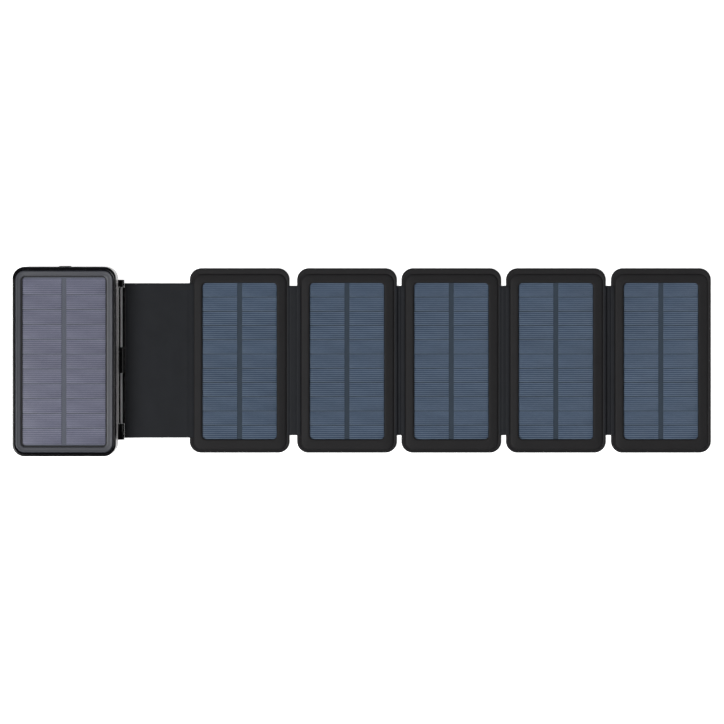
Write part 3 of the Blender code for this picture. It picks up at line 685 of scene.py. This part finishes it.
def make_case_top():
    low, high = box_mm("case_clear_cover")
    wide = (CASE_X, MID_Y, high[0] - low[0], high[1] - low[1], 4.6, 14)
    film_piece(
        "case_film", wide, window(-0.1), low[2], 0.7, high[2], "case_clear_cover", "case_film",
        "case",
    )
    pitch = 12.18
    LOOKS["case_cells"] = cell_look(
        "case_cells", (0.097, 0.101, 0.144), (0.158, 0.162, 0.222),
        MID_Y + CELL_ROWS / 2 * pitch, pitch / FINGERS,
    )
    cell_field(
        "case_cells", (WINDOW_X, MID_Y), pitch, 32.0, CASE_CELL_Z, "case", "case_cell_sheet",
        "case_cells", longer=1.5, seam=0.9,
    )
    repaint("case_backing_board", "case_backing")


def make_port_cover():
    """A soft cover with a shallow border and a pull tab at its top."""
    x = (cover_low[0] + cover_high[0]) / 2
    z = (cover_low[2] + cover_high[2]) / 2
    face = CASE_TOP_Y
    outline = (x, z, cover_high[0] - cover_low[0], cover_high[2] - cover_low[2], 1.0, 5)
    loops = [
        level(outline, face - 1.8, "XZ"), level(outline, face - 0.25, "XZ"),
        level(inset(outline, 0.08), face - 0.08, "XZ"), level(inset(outline, 0.25), face, "XZ"),
        level(inset(outline, 1.2), face, "XZ"), level(inset(outline, 1.35), face - 0.2, "XZ"),
        level(inset(outline, 1.6), face - 0.2, "XZ"), level(inset(outline, 1.75), face, "XZ"),
    ]
    bm = bmesh.new()
    loft(bm, loops)
    cover = new_object("socket_cover", bm)
    tab = bmesh.new()
    shape = (x, cover_high[2] - 1.8, 10.0, 2.8, 0.9, 6)
    loft(tab, (
        level(shape, face - 0.9, "XZ"), level(shape, face + 0.35, "XZ"),
        level(inset(shape, 0.2), face + 0.6, "XZ"),
    ))
    combine(cover, "UNION", tab)
    return dress(cover, "silicone", "port_cover", "silicone", "port_cover")


def make_button():
    face = CASE_LEFT - 0.4
    inner = CASE_LEFT + WALL + GAP
    cap = capsule_outline(BUTTON_Y, BUTTON_Z, *BUTTON_SIZE)
    flange = capsule_outline(BUTTON_Y, BUTTON_Z, *BUTTON_SIZE, 1.4)
    stem = capsule_outline(BUTTON_Y, BUTTON_Z, 2.4, 2.4)
    loops = [
        level(inset(cap, 1.3), face + 0.22, "YZ"), level(inset(cap, 0.9), face + 0.1, "YZ"),
        level(inset(cap, 0.5), face, "YZ"), level(inset(cap, 0.2), face + 0.06, "YZ"),
        level(inset(cap, 0.05), face + 0.2, "YZ"), level(cap, face + 0.4, "YZ"),
        level(cap, inner, "YZ"), level(flange, inner, "YZ"), level(flange, inner + 1, "YZ"),
        level(stem, inner + 1, "YZ"), level(stem, inner + 2.4, "YZ"),
    ]
    bm = bmesh.new()
    loft(bm, loops)
    button = new_object("button_cap", bm)
    return dress(button, "silicone", "power_button", "silicone", "power_button")


def make_lens():
    """A frosted lens with fine ribs along it, over the light board."""
    bm = bmesh.new()
    low_z = GAP
    flange = inset(LENS_OUTLINE, -2.0)
    loops = [
        level(inset(LENS_OUTLINE, 0.5), low_z), level(inset(LENS_OUTLINE, 0.15), low_z + 0.1),
        level(LENS_OUTLINE, low_z + 0.4), level(LENS_OUTLINE, 2.5),
        level(flange, 2.5), level(flange, 3.3),
    ]
    loft(bm, loops)
    lens = new_object("back_lens", bm)
    ribs = bmesh.new()
    count = 24
    for i in range(count):
        y = MID_Y - 15.6 + 31.2 * i / (count - 1)
        profile = circle_points(y, low_z - 0.12, 0.42, 12)
        loft(ribs, (at(profile, CASE_X - 25.5, "YZ"), at(profile, CASE_X + 25.5, "YZ")))
    combine(lens, "DIFFERENCE", ribs)
    return dress(lens, "lens_plastic", "case", "lens_plastic", "light_lens")


def make_socket_insides():
    """The plastic tongues of the sockets with their contact strips."""
    for node in ("usb_a_socket_1", "usb_a_socket_2"):
        low, high = box_mm(node)
        x = (low[0] + high[0]) / 2
        z = high[2] - 1.5
        tongue = (x, z, 11.2, 1.5, 0.25, 3)
        bm = bmesh.new()
        loft(bm, (
            level(tongue, low[1] + 1.4, "XZ"), level(tongue, high[1] - 2.6, "XZ"),
            level(inset(tongue, 0.25), high[1] - 2.2, "XZ"),
        ))
        block = new_object(node.replace("socket", "tongue"), bm)
        dress(block, "switch_plastic", "case", "switch_plastic")
        bm = bmesh.new()
        for i in range(4):
            left = x + (-3.5, -1.0, 1.0, 3.5)[i] - 0.5
            add_box(bm, (left, low[1] + 2, z - 0.85), (left + 1, high[1] - 3.2, z - 0.74))
        strips = new_object(node.replace("socket", "contacts"), bm)
        dress(strips, "gold", "case", "socket_metal")
    low, high = box_mm("usb_c_socket")
    tongue = ((low[0] + high[0]) / 2, (low[2] + high[2]) / 2, 6.6, 0.7, 0.2, 3)
    bm = bmesh.new()
    loft(bm, (level(tongue, low[1] + 1.4, "XZ"), level(tongue, high[1] - 1.2, "XZ")))
    dress(new_object("usb_c_tongue", bm), "switch_plastic", "case", "switch_plastic")


def make_rod():
    bm = bmesh.new()
    low, high = rod_low[1], rod_high[1]
    loops = []
    for y, radius in ((low, 0.7), (low + 0.3, 1.0), (high - 0.3, 1.0), (high, 0.7)):
        loops.append(at(circle_points(ROD_X, ROD_Z, radius, 32), y, "XZ"))
    loft(bm, loops)
    return dress(new_object("steel_rod", bm, 50), "rod_steel", "case", "steel", "hinge_rod")


def make_case():
    make_lower_shell()
    make_upper_shell()
    make_bezel()
    make_case_top()
    make_port_cover()
    make_button()
    make_lens()
    make_socket_insides()
    make_rod()


# Flap


def make_edge_bar():
    """The flap's bar, with the channel under the rod and the sleeve round it."""
    ends = (bar_low[1] - 0.2, bar_high[1] + 0.2)
    middle = ROD_X + (1.4 + 3.9) / 2
    outline = (middle, ROD_Z, 2.5, 2.8, 0.8, 5)
    bm = bmesh.new()
    loft(bm, (
        level(inset(outline, 0.3), ends[0], "XZ"), level(outline, ends[0] + 0.3, "XZ"),
        level(outline, ends[1] - 0.3, "XZ"), level(inset(outline, 0.3), ends[1], "XZ"),
    ))
    bar = new_object("edge_bar", bm)
    turns = [math.radians(-180 + 165 * step / 24) for step in range(25)]
    inner, outer = (
        [(ROD_X + r * math.cos(turn), ROD_Z + r * math.sin(turn)) for turn in turns]
        for r in (1.5, 2.3)
    )
    tip_turns = [math.pi * k / 6 for k in range(1, 6)]
    tip = [
        (ROD_X - 1.9 + 0.4 * math.cos(turn), ROD_Z + 0.4 * math.sin(turn)) for turn in tip_turns
    ]
    lip = bmesh.new()
    points = outer + inner[::-1] + tip
    loft(lip, (at(points, ends[0], "XZ"), at(points, ends[1], "XZ")))
    combine(bar, "UNION", lip)
    low, high = MID_Y - 10.2, MID_Y + 11.1
    sleeve = bmesh.new()
    loops = []
    for y, radius in ((low, 2.1), (low + 0.3, 2.4), (high - 0.3, 2.4), (high, 2.1)):
        loops.append(at(circle_points(ROD_X, ROD_Z, radius, 40), y, "XZ"))
    loft(sleeve, loops)
    combine(bar, "UNION", sleeve)
    bore = bmesh.new()
    points = circle_points(ROD_X, ROD_Z, 1.25, 24)
    loft(bore, (at(points, low - 2, "XZ"), at(points, high + 2, "XZ")))
    combine(bar, "DIFFERENCE", bore)
    return dress(bar, "hinge_plastic", "flap", "hinge_plastic", "flap_edge_bar")


def ripple(x, y, scale, seed):
    return noise.noise(Vector((x / scale, y / scale, seed)))


def slab(name, x_rows, y_ends, middle_z, half_t, edge_r, wave):
    """A closed, soft-edged sheet: rows across X, its half thickness falling off round the Y
    ends."""
    bm = bmesh.new()
    low, high = y_ends
    rim = []
    for step in range(6):
        angle = math.pi / 2 * step / 5
        rim.append((low + edge_r * (1 - math.cos(angle)), max(0.15, math.sin(angle))))
    count = int((high - low) / 2.4)
    inner = [(low + edge_r + (high - low - 2 * edge_r) * k / count, 1.0) for k in range(1, count)]
    columns = rim + inner + [(low + high - y, share) for y, share in reversed(rim)]
    top, bottom = [], []
    for x in x_rows:
        top_row, bottom_row = [], []
        for y, share in columns:
            z = middle_z(x) + wave(x, y)
            top_row.append(bm.verts.new((x, y, z + half_t(x) * share)))
            bottom_row.append(bm.verts.new((x, y, z - half_t(x) * share)))
        top.append(top_row)
        bottom.append(bottom_row)
    rows, cols = len(x_rows), len(columns)
    for i in range(rows - 1):
        for j in range(cols - 1):
            bm.faces.new((top[i][j], top[i + 1][j], top[i + 1][j + 1], top[i][j + 1]))
            bm.faces.new(
                (bottom[i][j], bottom[i][j + 1], bottom[i + 1][j + 1], bottom[i + 1][j])
            )
        bm.faces.new((top[i][0], bottom[i][0], bottom[i + 1][0], top[i + 1][0]))
        bm.faces.new((top[i][-1], top[i + 1][-1], bottom[i + 1][-1], bottom[i][-1]))
    for j in range(cols - 1):
        bm.faces.new((top[0][j], top[0][j + 1], bottom[0][j + 1], bottom[0][j]))
        bm.faces.new((top[-1][j], bottom[-1][j], bottom[-1][j + 1], top[-1][j + 1]))
    return new_object(name, bm, 60)


def even_rows(start, end, count):
    return [start + (end - start) * k / count for k in range(count + 1)]


def make_flap():
    """One sheet from the edge bar to the first panel's raised middle, over the crease."""
    start = bar_high[0] - 1.35
    end = PANEL_1_LEFT + 3.4

    def middle(x):
        share = min(max((x - start) / (CREASE_X - start), 0), 1)
        return ROD_Z + (PANEL_MID_Z - ROD_Z) * share

    def half(x):
        on_panel = min(max((x - PANEL_1_LEFT + 1.5) / 2.5, 0), 1)
        ridge = math.exp(-(((x - (PANEL_1_LEFT - 0.8)) / 0.5) ** 2))
        tip = min(max((end - x) / 0.6, 0), 1)
        return (1.1 - 0.22 * on_panel - 0.10 * ridge) * (0.82 + 0.18 * math.sqrt(tip))

    def wave(x, y):
        loose = min(max((PANEL_1_LEFT - 2 - x) / 12, 0), 1) * min(max((x - start - 1) / 10, 0), 1)
        slant = ripple(x * 0.8 + y * 0.5, y * 0.8 - x * 0.5, 11, 7.7)
        return loose * (0.16 * ripple(x, y, 17, 3.1) + 0.10 * slant + 0.05 * ripple(x, y, 5, 5.3))

    ends = (MID_Y - FLAP_L / 2, MID_Y + FLAP_L / 2)
    flap = slab("flap_cloth", even_rows(start, end, 56), ends, middle, half, 0.9, wave)
    flap.data.materials.append(LOOKS["flap"])
    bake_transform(flap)
    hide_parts("flap_front_fabric", "flap_back_fabric")


# Panels


COVER_PARTS = (20, 38)


def between(first, second, share):
    return tuple(a + (b - a) * share for a, b in zip(first[:5], second)) + (first[5],)


def cover_loops(profile, outline, seed, up):
    """Loops of a cover from (outline, z) pairs, with soft unevenness and gathers round the
    corners."""
    x0, y0, width, length, radius, _ = outline
    loops = []
    for step, (ring, z) in enumerate(profile):
        loop = []
        for x, y in outline_points(ring, COVER_PARTS):
            uneven = 0.05 * ripple(x, y, 9, seed) if step > 1 else 0.0
            by = min(width / 2 - abs(x - x0), length / 2 - abs(y - y0))
            across = max(abs(x - x0) - width / 2 + radius, 0)
            along = max(abs(y - y0) - length / 2 + radius, 0)
            gather = 0.0
            if across and along and 1 < step < len(profile) - 3:
                turn = math.atan2(along, across)
                fade = math.sin(2 * turn) * math.sin(math.pi * step / len(profile))
                gather = 0.14 * fade * math.sin(turn * 18 + seed)
            loop.append(Vector((x, y, z + up * (uneven + gather))))
        loops.append(loop)
    return loops


def cover_profile(outline, x, side):
    """Rings over a cover, from its edge over the pressed rim and its groove to the raised
    middle."""
    foot = (x + 0.35, MID_Y - 1.35, PANEL_W - 5.3, PANEL_L - 6.3, 7.6, outline[5])
    rim = (
        (0.0, 0.15), (0.0, 0.30), (0.05, 0.46), (0.18, 0.58), (0.42, 0.66), (0.65, 0.62),
        (0.84, 0.48), (1.0, 0.30),
    )
    rise = (
        (0.22, 0.34), (0.42, 0.74), (0.75, 1.18), (1.2, 1.46), (1.9, 1.62), (3.0, 1.74),
        (4.2, 1.84),
    )
    rings = [(between(outline, foot, share), PANEL_MID_Z + side * z) for share, z in rim]
    return rings + [(inset(foot, by), PANEL_MID_Z + side * z) for by, z in rise]


def make_covers(number):
    """The two pressed covers of a panel. Their edges meet in a flat pressed rim round a raised
    middle."""
    x = PANEL_X[number]
    body = f"panel_{number}"
    outline = (x, MID_Y, PANEL_W, PANEL_L, 9.5, 16)
    opening = (x + WINDOW_SHIFT, PANEL_WINDOW_Y, PANEL_OPEN_W, PANEL_WINDOW_L, 4.0, 16)
    seam = PANEL_MID_Z
    loops = cover_loops(cover_profile(outline, x, 1), outline, number * 2.3, 1)
    loops += [
        level(inset(opening, -grow), seam + z, parts=COVER_PARTS) for grow, z in (
            (2.2, 2.0), (1.0, 2.0), (0.45, 1.92), (0.12, 1.76), (0.0, 1.52), (0.0, 1.4),
            (1.2, 1.4),
        )
    ]
    inside = [(inset(outline, by), seam + z) for by, z in ((5.6, 1.3), (4.5, 0.12))]
    loops += cover_loops(inside, outline, 0, 0)
    bm = bmesh.new()
    loft(bm, loops, closed=True)
    cover = new_object(f"panel_{number}_cover_front", bm, 60)
    dress(cover, "fabric", body, "fabric", f"panel_{number}_front_cover")
    loops = cover_loops(cover_profile(outline, x, -1), outline, number * 1.7, -1)
    for loop in loops:
        for point in loop:
            point.z = max(point.z, 0.0)
    loops.reverse()
    inside = [(inset(outline, by), seam - z) for by, z in ((4.5, 0.12), (5.6, 1.3), (7.4, 1.4))]
    loops += cover_loops(inside, outline, 0, 0)
    bm = bmesh.new()
    loft(bm, loops)
    cover = new_object(f"panel_{number}_cover_back", bm, 60)
    dress(cover, "fabric", body, "fabric", f"panel_{number}_back_cover")


def make_panel_tops():
    pitch = PANEL_WINDOW_L / CELL_ROWS
    LOOKS["cells"] = cell_look(
        "panel_cells", (0.037, 0.057, 0.095), (0.084, 0.114, 0.162),
        PANEL_WINDOW_Y + CELL_ROWS / 2 * pitch, pitch / FINGERS,
    )
    for number in PANELS:
        x = PANEL_X[number]
        body = f"panel_{number}"
        low, high = box_mm(f"{body}_clear_cover")
        opening = (
            x + WINDOW_SHIFT, PANEL_WINDOW_Y, PANEL_OPEN_W - 0.2, PANEL_WINDOW_L - 0.2, 3.9, 8,
        )
        wide = (x, PANEL_WINDOW_Y, high[0] - low[0], high[1] - low[1], 5.7, 8)
        film_piece(
            f"{body}_film", wide, opening, low[2], 0.5, high[2], f"{body}_clear_cover", "film",
            body,
        )
        cell_field(
            f"{body}_cells", (x, PANEL_WINDOW_Y), pitch, 28.5, PANEL_CELL_Z, body,
            f"{body}_cell_sheet", "cells",
        )
        repaint(f"{body}_backing_board", "backing")
        make_covers(number)


# Webs

LEAD_W, LEAD_T = 8.0, 0.2
WEB_DIP = {2: 1.0, 4: 1.3}  # how far the middle lies lower, so that it clears the flap when folded


def make_webs():
    """Each web is one strip of cloth that laps onto both panels' pressed edges, with its lead
    inside."""
    for number in range(1, 5):
        left = PANEL_X[number] + PANEL_W / 2
        right = PANEL_X[number + 1] - PANEL_W / 2
        start, end = left - 2.0, right + 2.9
        lower = WEB_DIP.get(number, 0.0)

        def dip(x):
            share = min(max(min(x - left + 0.1, right - x + 0.1) / 1.3, 0), 1)
            return lower * share * share * (3 - 2 * share)

        def middle(x):
            return PANEL_MID_Z - dip(x)

        def half(x):
            valley = max(
                math.exp(-(((x - edge) / 0.55) ** 2)) for edge in (left + 0.2, right - 0.2)
            )
            tip = min(max(min(x - start, end - x) / 0.5, 0), 1)
            return (0.90 - 0.14 * valley - 0.44 * dip(x)) * (0.84 + 0.16 * math.sqrt(tip))

        ends = (MID_Y - WEB_L / 2, MID_Y + WEB_L / 2)
        seed = number * 4.1
        cloth = slab(
            f"web_{number}_cloth", even_rows(start, end, 36), ends, middle, half, 0.7,
            lambda x, y: 0.03 * ripple(x, y, 6, seed),
        )
        lead_steps, lead_reach = (14, 0.6) if lower else (3, 1.6)
        lead = slab(
            f"web_{number}_flat_lead", even_rows(left + 0.1, right - 0.1, lead_steps),
            (MID_Y - LEAD_W / 2, MID_Y + LEAD_W / 2), middle, lambda x: LEAD_T / 2, 0.1,
            lambda x, y: 0.0,
        )
        for piece, look, slot, node, reach in (
            (cloth, "flap", "fabric", f"web_{number}_fabric", 0.6),
            (lead, "flat_cable", "flat_cable", f"web_{number}_lead", lead_reach),
        ):
            piece.data.materials.append(LOOKS[look])
            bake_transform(piece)
            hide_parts(node)


# Everything that keeps its CAD shape


def repaint_rest():
    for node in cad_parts:
        for word, look in (
            ("battery_cell", "pouch_foil"), ("board", "circuit_board"), ("socket", "socket_metal"),
            ("button_switch", "switch_plastic"), ("light_pipe", "lens_plastic"),
            ("screw", "steel"), ("lead", "flat_cable"),
        ):
            if word in node and "backing" not in node:
                repaint(node, look)
                break


# Stage


def area_light(name, place, target, size, power):
    light = bpy.data.lights.new(name, "AREA")
    light.shape = "RECTANGLE"
    light.size, light.size_y = size
    light.energy = power
    made = bpy.data.objects.new(name, light)
    made.location = place
    made.rotation_euler = (Vector(target) - Vector(place)).to_track_quat("-Z", "Y").to_euler()
    bpy.context.scene.collection.objects.link(made)
    return made


def make_world():
    """A dark ceiling, where the camera hangs, over a bright horizon."""
    world = bpy.data.worlds.new("studio")
    world.use_nodes = True
    tree = world.node_tree
    background = tree.nodes["Background"]
    direction = tree.nodes.new("ShaderNodeTexCoord")
    parts = tree.nodes.new("ShaderNodeSeparateXYZ")
    tree.links.new(direction.outputs["Generated"], parts.inputs[0])
    fall = tree.nodes.new("ShaderNodeMapRange")
    fall.interpolation_type = "SMOOTHSTEP"
    for index, value in ((1, 0.08), (2, 0.5), (3, 0.5), (4, 0.04)):
        fall.inputs[index].default_value = value
    tree.links.new(parts.outputs[2], fall.inputs[0])
    background.inputs[0].default_value = (1, 1, 1, 1)
    tree.links.new(fall.outputs[0], background.inputs[1])
    bpy.context.scene.world = world


def make_stage():
    """A white table lit from below, so the ground stays white, with a large soft box from the left
    and front and a small one at the right."""
    bm = bmesh.new()
    side = 6000.0
    corners = ((-side, -side), (side, -side), (side, side), (-side, side))
    bm.faces.new([bm.verts.new((x, y, -0.1)) for x, y in corners])
    floor = new_object("floor", bm)
    look = Look("floor_acrylic")
    look.set(Base_Color=(0.85, 0.85, 0.85, 1), Roughness=0.9, Specular_IOR_Level=0.1)
    look.set(Emission_Color=(1, 1, 1, 1), Emission_Strength=0.9)
    floor.data.materials.append(look.material)
    make_world()
    area_light("key_box", (-2.1, -0.85, 3.75), (-0.05, 0, 0), (1.25, 2.4), 250)
    area_light("fill_box", (0.75, 0.05, 0.7), (0.2, 0, 0), (0.3, 0.8), 2.5)


def make_camera():
    """High above, a little towards the far side, and shifted back to frame the object."""
    scene = bpy.context.scene
    scene.view_settings.view_transform = "Standard"
    scene.view_settings.look = "None"
    height = 2700.0
    width = 599.5  # of the floor that the picture covers
    stand_x, stand_y, aim_y = -0.78, 99.5, -1.65
    camera_data = bpy.data.cameras.new("camera")
    camera_data.sensor_width = 36.0
    camera_data.lens = 36.0 * height / width
    camera_data.shift_y = (aim_y - stand_y) / width
    camera = bpy.data.objects.new("camera", camera_data)
    camera.location = (stand_x * MM, stand_y * MM, height * MM)
    scene.collection.objects.link(camera)
    scene.camera = camera


make_camera()
make_stage()
make_case()
make_edge_bar()
make_panel_tops()
make_flap()
make_webs()
repaint_rest()
